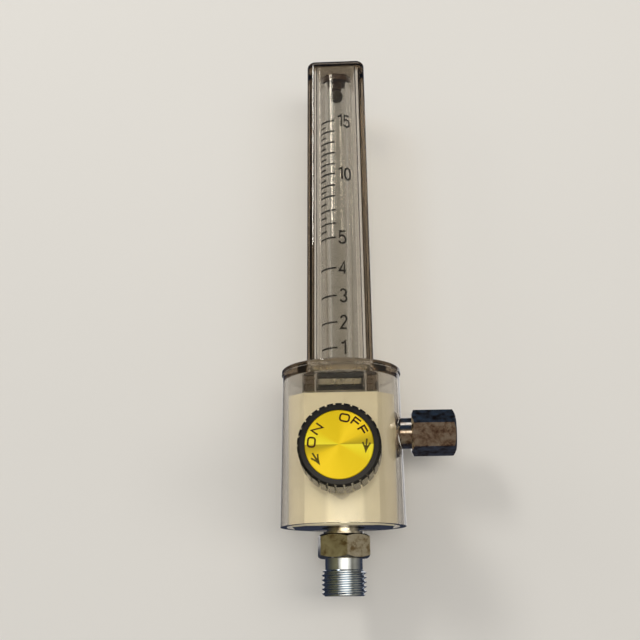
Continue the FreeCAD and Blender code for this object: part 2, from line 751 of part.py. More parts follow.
def make_valve_bonnet():
    body = new_body("valve_bonnet")
    point_forward(body, "valve_z")
    groove_r = "chamber_d / 2 - seal_fit - bonnet_seal_section"
    half = "(bonnet_seal_section / 2 + seal_fit)"
    outside = "chamber_d / 2 - seal_fit"
    inside = "bonnet_bore_d / 2"
    spin(body, "sleeve", "Revolution", [
        (inside, "bonnet_root"), (outside + " - bonnet_edge", "bonnet_root"),
        (outside, "bonnet_root + bonnet_edge"),
        (outside, "bonnet_seal_y - " + half), (groove_r, "bonnet_seal_y - " + half),
        (groove_r, "bonnet_seal_y + " + half), (outside, "bonnet_seal_y + " + half),
        (outside, "boss_face"), ("bonnet_flange_d / 2", "boss_face"),
        ("bonnet_flange_d / 2", "bonnet_end - bonnet_edge"),
        ("bonnet_flange_d / 2 - bonnet_edge", "bonnet_end"),
        (inside, "bonnet_end")])
    return body


def make_bonnet_o_ring():
    path = "chamber_d / 2 - seal_fit - bonnet_seal_section / 2"
    return ring("bonnet_o_ring", path, "bonnet_seal_section - seal_fit", "bonnet_seal_y",
                "forward", "valve_z")


def make_valve_spindle():
    body = new_body("valve_spindle")
    point_forward(body, "valve_z")
    rod = "spindle_d / 2"
    groove_r = rod + " - spindle_seal_section - seal_fit"
    half = "(spindle_seal_section / 2 + seal_fit)"
    spin(body, "rod", "Revolution", [
        ("0", "needle_tip_y"), ("needle_tip_d / 2", "needle_tip_y"), (rod, "spindle_root"),
        (rod, "spindle_seal_y - " + half), (groove_r, "spindle_seal_y - " + half),
        (groove_r, "spindle_seal_y + " + half), (rod, "spindle_seal_y + " + half),
        (rod, "spindle_top"), ("0", "spindle_top")])
    bore(body, "screw_hole", "XY_Plane", "spindle_top",
         "screw_seat - screw_len - screw_end_gap", "screw_d")
    flat = new_sketch(body, "flat_outline", "XY_Plane", "spindle_top")
    add_outline(flat, [("-spindle_d / 2", "spindle_flat"), ("spindle_d / 2", "spindle_flat"),
                       ("spindle_d / 2", "spindle_d / 2 + cut_margin"),
                       ("-spindle_d / 2", "spindle_d / 2 + cut_margin")])
    pocket(body, "drive_flat", flat, "spindle_flat_len")
    return body


def make_spindle_o_ring():
    path = "spindle_d / 2 - seal_fit - spindle_seal_section / 2"
    return ring("spindle_o_ring", path, "spindle_seal_section", "spindle_seal_y",
                "forward", "valve_z")


# Knob

def make_knob():
    body = new_body("knob")
    point_forward(body, "valve_z")
    slope = "(knob_back_r - knob_front_r) / knob_height * knob_front_edge"
    spin(body, "blank", "Revolution", [
        ("0", "knob_back"), ("knob_back_r - knob_edge", "knob_back"),
        ("knob_back_r", "knob_back + knob_edge"),
        ("knob_front_r + " + slope, "knob_front - knob_front_edge"),
        ("knob_front_r - knob_front_edge", "knob_front"), ("0", "knob_front")])
    spin(body, "hollow", "Groove", [
        ("knob_hub_d / 2", "knob_hub_back"), ("0", "knob_hub_back"), ("0", "knob_back"),
        ("knob_hollow_r", "knob_back"), ("knob_hollow_r", "web_back"),
        ("knob_hub_d / 2", "web_back")])
    bore(body, "disc_recess", "XY_Plane", "knob_front", "disc_seat", "disc_d + 2 * running_gap")
    bore(body, "screw_recess", "XY_Plane", "disc_seat", "screw_seat", "screw_recess_d")
    bore(body, "screw_way", "XY_Plane", "screw_seat", "spindle_top", "screw_d + 2 * hole_gap")
    socket = new_sketch(body, "socket_outline", "XY_Plane", "spindle_top + running_gap")
    add_circle(socket, "spindle_d + 2 * running_gap")
    pocket(body, "spindle_hole", socket, "spindle_top + running_gap - knob_hub_back")
    groove = new_sketch(body, "rib_gap_outline", "XY_Plane", "knob_front")
    add_outline(groove, [
        ("knob_rib_root_r", "-knob_groove_w / 2"), ("knob_back_r + cut_margin", "-knob_groove_w / 2"),
        ("knob_back_r + cut_margin", "knob_groove_w / 2"), ("knob_rib_root_r", "knob_groove_w / 2")])
    gap = pocket(body, "rib_gap", groove, "knob_height")
    doc.recompute()
    gaps = body.newObject("PartDesign::PolarPattern", "rib_gaps")
    gaps.Originals = [gap]
    gaps.Axis = (groove, ["N_Axis"])
    gaps.Angle = 360
    gaps.setExpression("Occurrences", bound("knob_groove_count"))
    body.Tip = gaps
    return body


def make_dial_disc():
    body = new_body("dial_disc")
    point_forward(body, "valve_z")
    top = "disc_seat + disc_thick"
    spin(body, "plate", "Revolution", [
        ("0", "disc_seat"), ("disc_d / 2", "disc_seat"), ("disc_d / 2", top + " - disc_edge"),
        ("disc_d / 2 - disc_edge", top), ("0", top)])
    return body


def make_knob_screw():
    body = new_body("knob_screw")
    point_forward(body, "valve_z")
    head = "screw_head_d / 2"
    shank = "screw_d / 2 - seal_fit"
    end = "screw_seat - screw_len"
    top = "screw_seat + screw_head_len"
    spin(body, "screw", "Revolution", [
        ("0", end), (shank + " - screw_lead", end), (shank, end + " + screw_lead"),
        (shank, "screw_seat"), (head, "screw_seat"), (head, top + " - screw_head_edge"),
        (head + " - screw_head_edge", top), ("0", top)])
    slot = new_sketch(body, "slot_outline", "XY_Plane", top)
    add_outline(slot, [("-(%s)" % head, "-screw_slot_w / 2"), (head, "-screw_slot_w / 2"),
                       (head, "screw_slot_w / 2"), ("-(%s)" % head, "screw_slot_w / 2")])
    pocket(body, "slot", slot, "screw_slot_depth")
    return body


def make_parts():
    return [
        make_outlet_fitting(),
        make_outlet_seal(),
        make_valve_body(),
        make_tube_socket(),
        make_cover_ring("cover_o_ring_lower", "body_top_z + groove_low_z"),
        make_cover_ring("cover_o_ring_upper", "body_top_z + groove_low_z + groove_pitch"),
        make_outer_cover(),
        make_flow_tube(),
        make_tube_o_ring(),
        make_ball_seat(),
        make_float_ball(),
        make_ball_stop(),
        make_inlet_fitting(),
        make_inlet_filter(),
        make_valve_seat(),
        make_valve_bonnet(),
        make_bonnet_o_ring(),
        make_valve_spindle(),
        make_spindle_o_ring(),
        make_knob(),
        make_dial_disc(),
        make_knob_screw(),
    ]


def check_document(parts):
    """Stop if a feature failed or a piece has no sound solid."""
    for item in doc.Objects:
        if "Invalid" in item.State or "Error" in item.State:
            raise RuntimeError("%s did not build: %s" % (item.Name, item.State))
    for part in parts:
        shape = part.Shape
        if shape.isNull() or not shape.isValid() or not shape.Solids:
            raise RuntimeError("%s has no sound solid" % part.Label)


def write_parts(parts):
    os.makedirs("parts", exist_ok=True)
    for part in parts:
        part.Shape.exportStep("parts/%s.step" % part.Label)
        print("%-20s %9.1f mm3" % (part.Label, part.Shape.Volume))


fill_sheet()
pieces = make_parts()
doc.recompute()
check_document(pieces)
write_parts(pieces)
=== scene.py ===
import math

import bmesh
import bpy
from mathutils import Matrix, Vector


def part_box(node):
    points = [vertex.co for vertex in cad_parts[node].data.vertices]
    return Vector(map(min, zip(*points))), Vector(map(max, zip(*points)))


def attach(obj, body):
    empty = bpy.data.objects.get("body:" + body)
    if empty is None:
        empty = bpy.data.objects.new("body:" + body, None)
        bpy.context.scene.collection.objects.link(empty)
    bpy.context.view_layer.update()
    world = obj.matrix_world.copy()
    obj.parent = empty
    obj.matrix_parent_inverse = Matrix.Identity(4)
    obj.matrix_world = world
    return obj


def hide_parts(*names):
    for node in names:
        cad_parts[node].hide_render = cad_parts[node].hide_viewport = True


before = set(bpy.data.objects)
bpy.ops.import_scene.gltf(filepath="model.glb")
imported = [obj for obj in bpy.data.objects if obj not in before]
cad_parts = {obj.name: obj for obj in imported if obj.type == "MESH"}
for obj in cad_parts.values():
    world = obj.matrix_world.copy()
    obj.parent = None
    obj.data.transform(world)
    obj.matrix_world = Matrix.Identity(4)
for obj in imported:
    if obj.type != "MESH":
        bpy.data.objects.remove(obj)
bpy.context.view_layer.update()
MM = 0.001

# Sizes of the surface details, in millimetres, where the solids carry plain cylinders
OUTLET_THREAD = {"crest_r": 7.145, "depth": 0.866, "pitch": 1.411, "low": 0.0, "high": 8.1,
                 "low_r": 6.245, "neck_r": 6.0, "run_out": 0.45}
INLET_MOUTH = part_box("inlet_fitting")[1][0] / MM
INLET_THREAD = {"crest_r": 4.4, "depth": 0.577, "pitch": 0.941, "floor": INLET_MOUTH - 9.5,
                "start": INLET_MOUTH - 8.6, "mouth": INLET_MOUTH, "mouth_r": 5.2, "axis_z": 51.8}
THREAD_COLUMNS = 144
THREAD_STEPS = 4
FLOW_TUBE_R = 6.6
PRINT_RISE = 0.02
KNOB_AXIS_Z = 42.7
DISC_FACE_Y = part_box("dial_disc")[0][1] / MM

# Heights where a finish changes: the body's underside below the first is near-black as painted shade, the
# plating is clean below the outlet hexagon, and the cover's head is darkened as painted shade. The flow
# tube is glossy outside this radius.
SHADED_UNDERSIDE_Z = 21.25
CLEAN_PLATE_Z = 11.5
SHADED_HEAD_FROM = (185.9, 186.3)
TUBE_COAT_FROM = 6.3


def node(tree, kind, values=None, **settings):
    """A shader node with its settings and input values."""
    made = tree.nodes.new(kind)
    for name, value in settings.items():
        setattr(made, name, value)
    for name, value in (values or {}).items():
        made.inputs[name].default_value = value
    return made


def new_material(name, **values):
    """A material whose shader takes the given values: a name's underscores stand for spaces."""
    material = bpy.data.materials.new(name)
    material.use_nodes = True
    tree = material.node_tree
    shader = tree.nodes["Principled BSDF"]
    for socket, value in values.items():
        shader.inputs[socket.replace("_", " ")].default_value = value
    return material, tree, shader


def noise(tree, scale, detail=4.0):
    """Noise fixed to the object, from 0 to 1."""
    place = node(tree, "ShaderNodeTexCoord")
    texture = node(tree, "ShaderNodeTexNoise", {"Scale": scale, "Detail": detail, "Roughness": 0.6})
    tree.links.new(place.outputs["Object"], texture.inputs["Vector"])
    return texture.outputs["Fac"]


def ramp(tree, factor, stops):
    """A colour ramp through stops of place and colour."""
    made = node(tree, "ShaderNodeValToRGB")
    elements = made.color_ramp.elements
    while len(elements) < len(stops):
        elements.new(0.5)
    for element, (place, colour) in zip(elements, stops):
        element.position = place
        element.color = (*colour, 1.0)
    tree.links.new(factor, made.inputs["Fac"])
    return made.outputs["Color"]


def mixed(tree, share, first, second):
    """A colour between two others, each a tone or a socket."""
    mix = node(tree, "ShaderNodeMixRGB")
    tree.links.new(share, mix.inputs["Fac"])
    for name, tone in (("Color1", first), ("Color2", second)):
        if isinstance(tone, tuple):
            mix.inputs[name].default_value = (*tone, 1.0)
        else:
            tree.links.new(tone, mix.inputs[name])
    return mix.outputs["Color"]


def spread(tree, factor, low, high, start=0.3, end=0.7):
    """A number from low to high while the factor goes from start to end."""
    made = node(tree, "ShaderNodeMapRange",
                {"From Min": start, "From Max": end, "To Min": low, "To Max": high})
    tree.links.new(factor, made.inputs["Value"])
    return made.outputs["Result"]


def roughen(tree, shader, factor, strength, distance):
    """Bumps on a shader, with their height in millimetres."""
    made = node(tree, "ShaderNodeBump", {"Strength": strength, "Distance": distance * MM})
    tree.links.new(factor, made.inputs["Height"])
    tree.links.new(made.outputs["Normal"], shader.inputs["Normal"])


def surface(name, stops, rough, scale, bump_scale, bump, distance=0.05, **values):
    """A solid finish: colour and roughness follow one noise, fine bumps another."""
    material, tree, shader = new_material(name, **values)
    wear = noise(tree, scale)
    tree.links.new(ramp(tree, wear, stops), shader.inputs["Base Color"])
    tree.links.new(spread(tree, wear, *rough), shader.inputs["Roughness"])
    roughen(tree, shader, noise(tree, bump_scale, 2.0), bump, distance)
    return material


def height_share(tree, start, stop):
    """0 below one height and 1 above the other, in millimetres."""
    place = node(tree, "ShaderNodeTexCoord")
    parts = node(tree, "ShaderNodeSeparateXYZ")
    tree.links.new(place.outputs["Object"], parts.inputs["Vector"])
    return spread(tree, parts.outputs["Z"], 0.0, 1.0, start * MM, stop * MM)


def axis_distance(tree, location, scale):
    """A shifted and flattened place, and its distance from zero, in metres."""
    place = node(tree, "ShaderNodeTexCoord")
    flat = node(tree, "ShaderNodeMapping", {"Location": location, "Scale": scale})
    tree.links.new(place.outputs["Object"], flat.inputs["Vector"])
    length = node(tree, "ShaderNodeVectorMath", operation="LENGTH")
    tree.links.new(flat.outputs["Vector"], length.inputs[0])
    return flat.outputs["Vector"], length.outputs["Value"]


def clear(name, tint, roughness, absorb, density, head=None, coat_from=None, **values):
    """Moulded clear plastic: warm in thick places, and light passes it on its way to the inside.

    head gives two heights and the tone above them, which is painted shade. Where coat_from gives a
    radius, only the surface outside it is glossy with a coat.
    """
    material, tree, shader = new_material(name, Transmission_Weight=1.0, Coat_Roughness=0.06, **values)
    wear = noise(tree, 160.0, 3.0)
    tone = ramp(tree, wear, [(0.3, tint), (0.75, tuple(0.94 * c for c in tint))])
    if head:
        start, stop, dark = head
        tone = mixed(tree, height_share(tree, start, stop), tone, dark)
    tree.links.new(tone, shader.inputs["Base Color"])
    tree.links.new(spread(tree, wear, *roughness), shader.inputs["Roughness"])
    roughen(tree, shader, noise(tree, 90.0, 2.0), 0.02, 0.05)
    if coat_from:
        _, distance = axis_distance(tree, (0.0, 0.0, 0.0), (1.0, 1.0, 0.0))
        outside = spread(tree, distance, 0.0, 1.0, (coat_from - 0.1) * MM, coat_from * MM)
        tree.links.new(outside, shader.inputs["Coat Weight"])
    path = node(tree, "ShaderNodeLightPath")
    through = node(tree, "ShaderNodeBsdfTransparent", {"Color": (*tint, 1.0)})
    mix = node(tree, "ShaderNodeMixShader")
    output = tree.nodes["Material Output"]
    tree.links.new(path.outputs["Is Shadow Ray"], mix.inputs["Fac"])
    tree.links.new(shader.outputs["BSDF"], mix.inputs[1])
    tree.links.new(through.outputs["BSDF"], mix.inputs[2])
    tree.links.new(mix.outputs["Shader"], output.inputs["Surface"])
    volume = node(tree, "ShaderNodeVolumeAbsorption", {"Color": (*absorb, 1.0), "Density": density})
    tree.links.new(volume.outputs["Volume"], output.inputs["Volume"])
    return material


def change_below(material, level, stops):
    """Another colour under the given height."""
    tree = material.node_tree
    shader = tree.nodes["Principled BSDF"]
    upper = shader.inputs["Base Color"].links[0].from_socket
    lower = ramp(tree, noise(tree, 200.0), stops)
    both = mixed(tree, height_share(tree, level, level + 0.1), lower, upper)
    tree.links.new(both, shader.inputs["Base Color"])


def spun(name, stops, rough, rings, **values):
    """A face turned on a lathe: radial anisotropy fans the highlight out from the axis along Y, and the
    base colour holds a painted highlight, bright and dark wedges by angle round that axis.
    """
    material, tree, shader = new_material(name, **values)
    wear = noise(tree, 90.0)
    tree.links.new(spread(tree, wear, *rough), shader.inputs["Roughness"])
    tangent = node(tree, "ShaderNodeTangent", direction_type="RADIAL", axis="Y")
    tree.links.new(tangent.outputs["Tangent"], shader.inputs["Tangent"])
    shifted, distance = axis_distance(tree, (0.0, 0.0, -KNOB_AXIS_Z * MM), (1.0, 0.0, 1.0))
    flat = node(tree, "ShaderNodeCombineXYZ")
    parts = node(tree, "ShaderNodeSeparateXYZ")
    tree.links.new(shifted, parts.inputs["Vector"])
    tree.links.new(parts.outputs["X"], flat.inputs["X"])
    tree.links.new(parts.outputs["Z"], flat.inputs["Y"])
    turn = node(tree, "ShaderNodeTexGradient", gradient_type="RADIAL")
    tree.links.new(flat.outputs["Vector"], turn.inputs["Vector"])
    # The angle round the axis picks bright and dark wedges from the stops: a painted highlight and
    # painted shade.
    twice = node(tree, "ShaderNodeMath", {1: 2.0}, operation="MULTIPLY")
    tree.links.new(turn.outputs["Fac"], twice.inputs[0])
    painted_highlight_fan = node(tree, "ShaderNodeMath", operation="FRACT")
    tree.links.new(twice.outputs["Value"], painted_highlight_fan.inputs[0])
    tree.links.new(ramp(tree, painted_highlight_fan.outputs["Value"], stops), shader.inputs["Base Color"])
    ring_noise = node(tree, "ShaderNodeTexNoise", {"Scale": rings, "Detail": 2.0}, noise_dimensions="1D")
    tree.links.new(distance, ring_noise.inputs["W"])
    roughen(tree, shader, ring_noise.outputs["Fac"], 0.15, 0.03)
    return material


finishes = {
    "chrome": surface("chrome_plate",
                      [(0.34, (0.26, 0.19, 0.10)), (0.46, (0.52, 0.47, 0.37)), (0.7, (0.70, 0.67, 0.60))],
                      (0.22, 0.08), 330.0, 700.0, 0.10, Metallic=1.0),
    "black_rubber": surface("seal_rubber", [(0.3, (0.012, 0.012, 0.012)), (0.7, (0.03, 0.029, 0.027))],
                            (0.5, 0.7), 300.0, 1500.0, 0.2),
    "body_paint": surface("ivory_paint", [(0.3, (0.85, 0.765, 0.54)), (0.7, (0.90, 0.82, 0.60))],
                          (0.18, 0.26), 60.0, 900.0, 0.06,
                          Specular_IOR_Level=1.0, Coat_Weight=1.0, Coat_Roughness=0.15),
    "nickel": surface("nickel_plate", [(0.3, (0.56, 0.53, 0.46)), (0.7, (0.68, 0.66, 0.60))],
                      (0.22, 0.32), 200.0, 900.0, 0.08, Metallic=1.0),
    # The cover's colour turns dark brown near its top end: painted shade.
    "clear_cover": clear("clear_cover_plastic", (0.985, 0.98, 0.965), (0.0, 0.015),
                         (0.55, 0.46, 0.34), 105.0, head=(*SHADED_HEAD_FROM, (0.20, 0.155, 0.10)),
                         IOR=1.57, Coat_Weight=0.35),
    "clear_tube": clear("clear_tube_plastic", (0.96, 0.965, 0.955), (0.0, 0.012),
                        (0.60, 0.56, 0.50), 50.0, coat_from=TUBE_COAT_FROM,
                        IOR=1.49, Coat_Weight=1.0),
    "brass": surface("turned_brass", [(0.3, (0.55, 0.38, 0.14)), (0.7, (0.72, 0.53, 0.22))],
                     (0.25, 0.4), 200.0, 900.0, 0.1, Metallic=1.0),
    "ball": surface("dark_float", [(0.3, (0.035, 0.028, 0.018)), (0.7, (0.06, 0.05, 0.034))],
                    (0.22, 0.35), 300.0, 900.0, 0.05),
    "stop_plastic": surface("brown_stop", [(0.3, (0.050, 0.026, 0.012)), (0.7, (0.085, 0.046, 0.022))],
                            (0.35, 0.5), 300.0, 900.0, 0.1),
    "bronze": surface("sintered_bronze", [(0.3, (0.30, 0.19, 0.09)), (0.7, (0.48, 0.33, 0.17))],
                      (0.5, 0.7), 500.0, 4000.0, 0.9, 0.2, Metallic=1.0),
    "knob_plastic": surface("black_knob", [(0.3, (0.006, 0.005, 0.005)), (0.7, (0.012, 0.011, 0.010))],
                            (0.15, 0.24), 120.0, 1400.0, 0.06, Specular_IOR_Level=0.4),
    # The disc's base colour goes round in bright and dark wedges: a painted highlight and painted shade.
    "disc_yellow": spun("yellow_disc",
                        [(0.0, (0.50, 0.37, 0.003)), (0.05, (0.58, 0.43, 0.004)),
                         (0.15, (0.90, 0.64, 0.005)), (0.80, (0.92, 0.67, 0.006)),
                         (0.90, (0.96, 0.80, 0.02)), (0.995, (0.98, 0.86, 0.04))],
                        (0.30, 0.36), 5200.0, Metallic=0.4, Anisotropic=0.8),
}
# The body's underside below this height is near-black: painted shade under the body.
change_below(finishes["body_paint"], SHADED_UNDERSIDE_Z,
             [(0.3, (0.016, 0.013, 0.010)), (0.7, (0.030, 0.025, 0.018))])
# Below the outlet hexagon the plating is clean, and its bluish tint is a painted reflection of blue-grey
# surroundings.
change_below(finishes["chrome"], CLEAN_PLATE_Z,
             [(0.3, (0.50, 0.55, 0.61)), (0.7, (0.64, 0.70, 0.77))])
worn_chrome = surface("worn_chrome_plate",
                      [(0.36, (0.13, 0.06, 0.035)), (0.45, (0.42, 0.33, 0.26)),
                       (0.62, (0.66, 0.62, 0.56))],
                      (0.20, 0.07), 420.0, 600.0, 0.08, Metallic=1.0)
scale_ink = surface("scale_ink", [(0.3, (0.008, 0.008, 0.008)), (0.7, (0.02, 0.02, 0.02))],
                    (0.5, 0.7), 900.0, 3000.0, 0.1, Specular_IOR_Level=0.08)
disc_ink = surface("disc_ink", [(0.3, (0.030, 0.010, 0.004)), (0.7, (0.060, 0.022, 0.008))],
                   (0.45, 0.6), 900.0, 3000.0, 0.1, Specular_IOR_Level=0.15)
arrow_ink = surface("arrow_ink", [(0.3, (0.075, 0.055, 0.006)), (0.7, (0.15, 0.115, 0.012))],
                    (0.4, 0.5), 900.0, 3000.0, 0.1, Specular_IOR_Level=0.2)

for name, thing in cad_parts.items():
    for slot in thing.material_slots:
        finish = slot.material.name.split(".")[0]
        slot.material = worn_chrome if name == "inlet_fitting" else finishes[finish]


# Corners closer than this are one, and shorter edges go, in millimetres
WELD = 0.002
SLIVER = 0.001


class Sheet:
    """Corners and faces gathered for one mesh, in millimetres."""

    def __init__(self):
        self.corners = []
        self.faces = []

    def add(self, corners, faces):
        start = len(self.corners)
        self.corners += [tuple(corner) for corner in corners]
        self.faces += [tuple(start + index for index in face) for face in faces]

    def build(self, name, material, body, slot, sharp_angle=30.0, replaced=None):
        mesh = bpy.data.meshes.new(name)
        corners = [tuple(MM * value for value in corner) for corner in self.corners]
        mesh.from_pydata(corners, [], self.faces)
        work = bmesh.new()
        work.from_mesh(mesh)
        bmesh.ops.remove_doubles(work, verts=work.verts, dist=WELD * MM)
        bmesh.ops.dissolve_degenerate(work, edges=work.edges, dist=SLIVER * MM)
        bmesh.ops.recalc_face_normals(work, faces=work.faces)
        work.to_mesh(mesh)
        work.free()
        return place_piece(mesh, name, material, body, sharp_angle, replaced)


def place_piece(mesh, name, material, body, sharp_angle=None, replaced=None):
    mesh.materials.clear()
    mesh.materials.append(material)
    if sharp_angle is not None:
        mesh.polygons.foreach_set("use_smooth", [True] * len(mesh.polygons))
        mesh.set_sharp_from_angle(angle=math.radians(sharp_angle))
    mesh.update()
    piece = bpy.data.objects.new(name, mesh)
    bpy.context.scene.collection.objects.link(piece)
    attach(piece, body)
    if replaced:
        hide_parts(replaced)
    return piece


def thread_profile(pitch, depth):
    """Places along the axis and depths below the crest over one pitch: flat, flank, root, flank."""
    crest = pitch / 8
    flank = depth * math.tan(math.radians(30))
    root = pitch - crest - 2 * flank
    marks = [(0.0, 0.0), (crest, 0.0), (crest + flank, depth), (crest + flank + root, depth),
             (pitch, 0.0)]
    profile = []
    for (start, low), (end, high) in zip(marks, marks[1:]):
        for step in range(THREAD_STEPS):
            part = step / THREAD_STEPS
            profile.append((start + part * (end - start), low + part * (high - low)))
    return profile


def thread_surface(pitch, depth, first, last, radius, place):
    """A helical grid. radius(along, below) gives the radius, and place turns it into a corner."""
    profile = thread_profile(pitch, depth)
    turns = math.ceil((last - first) / pitch) + 2
    rows = [(turn * pitch + along, below) for turn in range(-1, turns) for along, below in profile]
    corners = []
    for column in range(THREAD_COLUMNS + 1):
        angle = 2 * math.pi * column / THREAD_COLUMNS
        for along, below in rows:
            position = min(max(first + along + pitch * (column / THREAD_COLUMNS - 1), first), last)
            corners.append(place(angle, position, radius(position, below)))
    count = len(rows)
    faces = []
    for column in range(THREAD_COLUMNS):
        for row in range(count - 1):
            low = column * count + row
            faces.append((low, low + 1, low + count + 1, low + count))
    sheet = Sheet()
    sheet.add(corners, faces)
    return sheet


# How near a corner is to a face that it belongs to, in millimetres, and when a face is square to an axis
NEAR = 0.01
WALL_NEAR = 0.05
FLAT = 0.95


def trimmed_copy(source, name, material, body, drop):
    """The node's own mesh without the faces that drop(corners in mm, normal) picks."""
    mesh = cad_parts[source].data.copy()
    work = bmesh.new()
    work.from_mesh(mesh)
    doomed = [face for face in work.faces
              if drop([vert.co / MM for vert in face.verts], face.normal)]
    bmesh.ops.delete(work, geom=doomed, context="FACES")
    work.to_mesh(mesh)
    work.free()
    return place_piece(mesh, name, material, body, None, source)


def build_outlet():
    size = OUTLET_THREAD
    low_r, neck_r = size["low_r"], size["neck_r"]
    slope = (size["crest_r"] - neck_r) / size["run_out"]

    def radius(height, below):
        return min(size["crest_r"] - below, low_r + height, neck_r + slope * (size["high"] - height))

    def place(angle, height, r):
        return r * math.cos(angle), r * math.sin(angle), height

    def on_thread(corners, normal):
        inside = all(corner.z < size["high"] + NEAR for corner in corners)
        wide = all(math.hypot(corner.x, corner.y) > neck_r - WALL_NEAR for corner in corners)
        end_face = normal.z < -FLAT and all(corner.z < NEAR for corner in corners)
        return inside and wide and not end_face

    sheet = thread_surface(size["pitch"], size["depth"], size["low"], size["high"], radius, place)
    sheet.build("outlet_thread", finishes["chrome"], "meter", "chrome", replaced="outlet_fitting")
    trimmed_copy("outlet_fitting", "outlet_fitting_turned", finishes["chrome"], "meter",
                 on_thread)


def build_inlet():
    size = INLET_THREAD
    axis_z = size["axis_z"]

    def radius(along, below):
        outside = min(size["crest_r"] + below, size["crest_r"] + max(along - size["start"], 0.0))
        return max(outside, size["mouth_r"] - (size["mouth"] - along))

    def place(angle, along, r):
        return along, r * math.cos(angle), axis_z + r * math.sin(angle)

    def in_port(corners, normal):
        reach = [math.hypot(corner.y, corner.z - axis_z) for corner in corners]
        deep = all(corner.x > size["floor"] - NEAR for corner in corners)
        in_mouth = max(reach) < size["mouth_r"] + 2 * NEAR
        on_wall = min(reach) > size["crest_r"] - WALL_NEAR
        return deep and in_mouth and on_wall and abs(normal.x) <= FLAT

    sheet = thread_surface(size["pitch"], size["depth"], size["floor"], size["mouth"], radius, place)
    sheet.build("inlet_thread", worn_chrome, "meter", "chrome", replaced="inlet_fitting")
    trimmed_copy("inlet_fitting", "inlet_fitting_turned", worn_chrome, "meter", in_port)


def arc(centre, radii, start, end, steps=20):
    """Points round an ellipse from one angle to another, in degrees."""
    points = []
    for step in range(steps + 1):
        angle = math.radians(start + (end - start) * step / steps)
        points.append((centre[0] + radii[0] * math.cos(angle), centre[1] + radii[1] * math.sin(angle)))
    return points


def ribbon(sheet, points, half, place, low, high, closed=False):
    """A drawn line: a strip of even width along the points, with a rectangular section."""
    count = len(points)
    sides = []
    for index in range(count):
        before = points[(index - 1) % count] if closed or index else points[0]
        after = points[(index + 1) % count] if closed or index < count - 1 else points[-1]
        here = points[index]
        into = Vector((here[0] - before[0], here[1] - before[1]))
        out = Vector((after[0] - here[0], after[1] - here[1]))
        into = into.normalized() if into.length > 1e-9 else out.normalized()
        out = out.normalized() if out.length > 1e-9 else into
        along = (into + out).normalized()
        across = Vector((-along.y, along.x))
        reach = half / max(across.dot(Vector((-into.y, into.x))), 0.5)
        sides.append([(here[0] + side * across.x, here[1] + side * across.y) for side in (reach, -reach)])
    corners = []
    for left, right in sides:
        corners += [place(*left, low), place(*right, low), place(*right, high), place(*left, high)]
    faces = []
    for index in range(count if closed else count - 1):
        start = 4 * index
        end = 4 * ((index + 1) % count)
        for side in range(4):
            other = (side + 1) % 4
            faces.append((start + side, start + other, end + other, end + side))
    if not closed:
        last = 4 * (count - 1)
        faces += [(3, 2, 1, 0), (last, last + 1, last + 2, last + 3)]
    sheet.add(corners, faces)


def prism(sheet, outline, place, low, high):
    """A flat shape with the given outline."""
    count = len(outline)
    corners = [place(u, v, low) for u, v in outline] + [place(u, v, high) for u, v in outline]
    faces = [tuple(range(count))[::-1], tuple(range(count, 2 * count))]
    faces += [(i, (i + 1) % count, count + (i + 1) % count, count + i) for i in range(count)]
    sheet.add(corners, faces)


# Numerals as centre lines in a box of the given width and height
DIGIT_H = 4.5


def digit_lines(digit, width):
    w, h = width, DIGIT_H
    shapes = {
        "0": [arc((w / 2, h / 2), (w / 2, h / 2), 0, 360, 40)],
        "1": [[(0.0, 0.83 * h), (0.55 * w, 0.875 * h), (w, h), (w, 0.0)]],
        "2": [arc((0.5 * w, 0.755 * h), (0.48 * w, 0.245 * h), 172, -32, 20) + [(0.0, 0.0), (w, 0.0)]],
        "3": [arc((0.48 * w, 0.755 * h), (0.46 * w, 0.245 * h), 160, -90, 20)
              + arc((0.48 * w, 0.255 * h), (0.52 * w, 0.255 * h), 90, -160, 24)],
        "4": [[(0.78 * w, 0.0), (0.78 * w, h), (0.0, 0.26 * h), (w, 0.26 * h)]],
        "5": [[(0.93 * w, h), (0.13 * w, h), (0.06 * w, 0.53 * h)]
              + arc((0.46 * w, 0.32 * h), (0.54 * w, 0.32 * h), 128, -158, 26)],
    }
    return shapes[digit]


# Height of each whole mark, in millimetres above the outlet's end face
MARKS = {1: 79.85, 2: 88.8, 3: 98.25, 4: 108.3, 5: 119.55, 6: 124.9, 7: 129.9, 8: 135.3, 9: 139.5,
         10: 143.95, 11: 147.85, 12: 152.1, 13: 156.3, 14: 160.7, 15: 164.9}
# Ends of the marks in degrees from the front line
LONG_MARK = (-70.0, -7.0)
SHORT_MARK = (-70.0, -37.0)
# Digits at each mark: digit, left edge from the front line and width
NUMERALS = {1: [("1", 0.5, 1.35)], 2: [("2", 0.45, 2.0)], 3: [("3", 0.45, 2.1)], 4: [("4", 0.25, 2.2)],
            5: [("5", 0.4, 2.2)], 10: [("1", 0.6, 1.1), ("0", 2.75, 2.3)],
            15: [("1", 0.5, 1.2), ("5", 2.75, 2.3)]}
# Half the width of the printed lines
MARK_HALF = 0.30
DIGIT_HALF = 0.34


def on_tube(along, height, rise):
    """A point on the flow tube: along is the arc length right of the front line."""
    angle = along / FLOW_TUBE_R
    r = FLOW_TUBE_R + rise
    return r * math.sin(angle), -r * math.cos(angle), height


